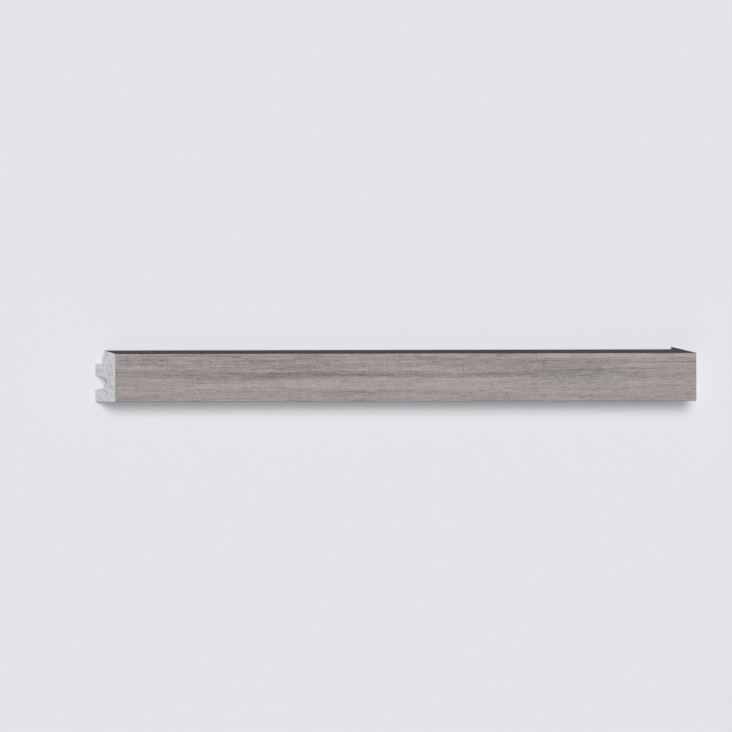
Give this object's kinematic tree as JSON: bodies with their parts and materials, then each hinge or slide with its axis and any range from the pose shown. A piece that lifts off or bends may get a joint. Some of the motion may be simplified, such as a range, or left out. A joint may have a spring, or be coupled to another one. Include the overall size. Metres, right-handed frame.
{
  "type": "moulding",
  "caption": "Wood-effect wall moulding with a dark sloping lip, a rebate behind the lip that stops at the outside corner, a cable channel in its wall face and mitred ends.",
  "frame": {"origin": "middle of the overall length and height, on the wall face, which the moulding lies on", "axes": "+X along the length, from the inside mitre to the outside mitre; +Y from the underside to the lip; +Z from the wall face to the front"},
  "size_m": [0.665, 0.06, 0.025],
  "materials": {
    "film_on_foam": "satin"
  },
  "bodies": {
    "root": {"moulding": "film_on_foam"}
  },
  "joints": []
}
